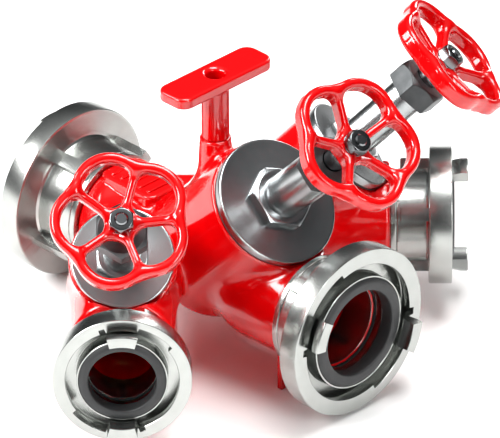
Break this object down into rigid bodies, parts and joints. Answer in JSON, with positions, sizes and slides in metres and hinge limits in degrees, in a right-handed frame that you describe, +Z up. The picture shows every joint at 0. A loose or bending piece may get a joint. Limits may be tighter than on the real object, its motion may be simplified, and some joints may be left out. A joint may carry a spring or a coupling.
{
  "type": "fire hose dividing breeching with screw-down valves",
  "caption": "Dividing breeching for fire hoses: a red cast body with an inlet, outlets behind screw-down valves with lobed handwheels, claw couplings and a carrying handle.",
  "frame": {"origin": "on the ground, below the middle of the object's box", "axes": "+Z up; +Y from the large outlet towards the inlet, along the main waterway; +X across, to the right when looking along +Y"},
  "size_m": [0.413, 0.3434, 0.2537],
  "materials": {
    "cast_paint": "gloss red powder coat on cast aluminium",
    "handle_paint": "gloss red powder coat on cast aluminium",
    "wheel_paint": "gloss red enamel on cast aluminium",
    "coupling_metal": "forged and turned, satin",
    "bonnet_metal": "turned, satin",
    "dark_steel": "phosphated, dark grey",
    "bright_steel": "turned",
    "valve_brass": "turned",
    "face_rubber": "matt",
    "gasket_rubber": "matt"
  },
  "bodies": {
    "root": {"body_casting": "cast_paint", "carrying_handle": "handle_paint", "handle_screw": "dark_steel", "inlet_coupling": "coupling_metal", "inlet_face_seal": "face_rubber", "inlet_thread_gasket": "gasket_rubber", "centre_bonnet": "bonnet_metal", "centre_bonnet_gasket": "gasket_rubber", "centre_coupling": "coupling_metal", "centre_face_seal": "face_rubber", "centre_gland_nut": "dark_steel", "centre_packing_ring": "gasket_rubber", "centre_seat_ring": "valve_brass", "centre_thread_gasket": "gasket_rubber", "left_bonnet": "bonnet_metal", "left_bonnet_gasket": "gasket_rubber", "left_coupling": "coupling_metal", "left_face_seal": "face_rubber", "left_gland_nut": "dark_steel", "left_packing_ring": "gasket_rubber", "left_seat_ring": "valve_brass", "left_thread_gasket": "gasket_rubber", "right_bonnet": "bonnet_metal", "right_bonnet_gasket": "gasket_rubber", "right_coupling": "coupling_metal", "right_face_seal": "face_rubber", "right_gland_nut": "dark_steel", "right_packing_ring": "gasket_rubber", "right_seat_ring": "valve_brass", "right_thread_gasket": "gasket_rubber"},
    "centre_lift_body": {"centre_valve_disc": "valve_brass", "centre_valve_disc_seal": "gasket_rubber"},
    "centre_spindle_body": {"centre_spindle": "bright_steel", "centre_handwheel": "wheel_paint", "centre_washer": "bright_steel", "centre_wheel_nut": "bright_steel", "centre_valve_disc_nut": "valve_brass"},
    "left_lift_body": {"left_valve_disc": "valve_brass", "left_valve_disc_seal": "gasket_rubber"},
    "left_spindle_body": {"left_spindle": "bright_steel", "left_handwheel": "wheel_paint", "left_washer": "bright_steel", "left_wheel_nut": "bright_steel", "left_valve_disc_nut": "valve_brass"},
    "right_lift_body": {"right_valve_disc": "valve_brass", "right_valve_disc_seal": "gasket_rubber"},
    "right_spindle_body": {"right_spindle": "bright_steel", "right_handwheel": "wheel_paint", "right_washer": "bright_steel", "right_wheel_nut": "bright_steel", "right_valve_disc_nut": "valve_brass"}
  },
  "joints": [
    {"name": "centre_lift", "type": "slide", "parent": "root", "child": "centre_lift_body", "axis": [0, -0.7071, 0.7071], "range_m": [0, 0.02]},
    {"name": "centre_turn", "type": "hinge", "parent": "centre_lift_body", "child": "centre_spindle_body", "pos_m": [0, 0.01775, 0.0655], "axis": [0, -0.7071, 0.7071], "range_deg": [0, 1800]},
    {"name": "left_lift", "type": "slide", "parent": "root", "child": "left_lift_body", "axis": [-0.5, -0.5, 0.7071], "range_m": [0, 0.016]},
    {"name": "left_turn", "type": "hinge", "parent": "left_lift_body", "child": "left_spindle_body", "pos_m": [-0.07283, 0.02482, 0.0655], "axis": [-0.5, -0.5, 0.7071], "range_deg": [0, 1440]},
    {"name": "right_lift", "type": "slide", "parent": "root", "child": "right_lift_body", "axis": [0.5, -0.5, 0.7071], "range_m": [0, 0.016]},
    {"name": "right_turn", "type": "hinge", "parent": "right_lift_body", "child": "right_spindle_body", "pos_m": [0.07283, 0.02482, 0.0655], "axis": [0.5, -0.5, 0.7071], "range_deg": [0, 1440]}
  ],
  "couplings": [
    {"joint": "centre_lift", "follows": "centre_turn", "m_per_rad": 0.0006366},
    {"joint": "left_lift", "follows": "left_turn", "m_per_rad": 0.0006366},
    {"joint": "right_lift", "follows": "right_turn", "m_per_rad": 0.0006366}
  ]
}
